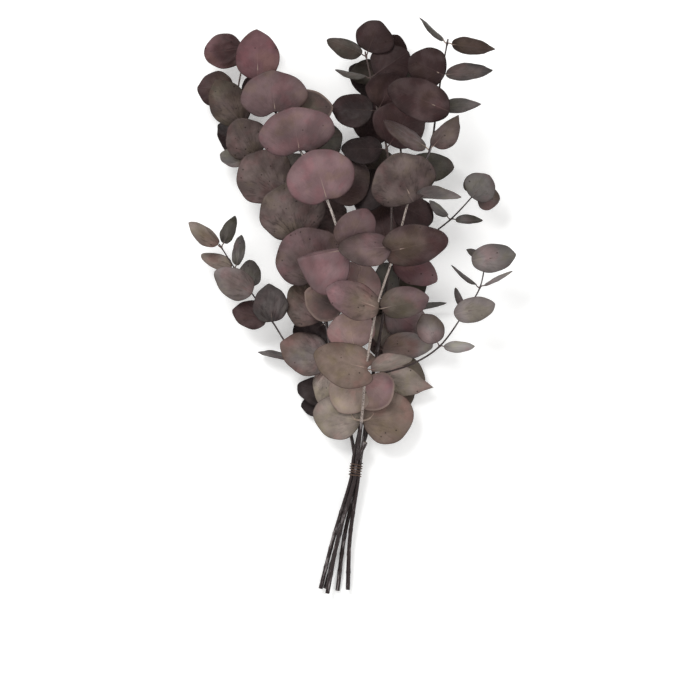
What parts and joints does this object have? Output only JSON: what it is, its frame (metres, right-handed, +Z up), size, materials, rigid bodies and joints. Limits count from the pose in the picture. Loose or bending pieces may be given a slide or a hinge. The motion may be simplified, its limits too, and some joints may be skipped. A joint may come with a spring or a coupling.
{
  "type": "bunch of dried eucalyptus",
  "caption": "Tied bunch of preserved round-leaved eucalyptus, dusty mauve and grey-brown, lying on its side.",
  "frame": {"origin": "Under the middle of the bunch, on the surface that it lies on.", "axes": "+X across the bunch, to the right when its tips point away; +Y along the stems, from the cut ends to the leafy tips; +Z up."},
  "size_m": [0.2856, 0.5016, 0.0924],
  "materials": {
    "leaf_grey_mauve": "matte, dry leaf",
    "leaf_pink": "matte, dry leaf",
    "leaf_grey_brown": "matte, dry leaf",
    "leaf_maroon": "matte, dry leaf",
    "leaf_olive": "matte, dry leaf",
    "wire": "dull brown lacquered wire"
  },
  "bodies": {
    "root": {"right_front_stem": "leaf_grey_mauve", "left_front_stem": "leaf_pink", "left_back_stem": "leaf_grey_brown", "right_back_stem": "leaf_maroon", "centre_back_stem": "leaf_olive", "tie": "wire"}
  },
  "joints": []
}
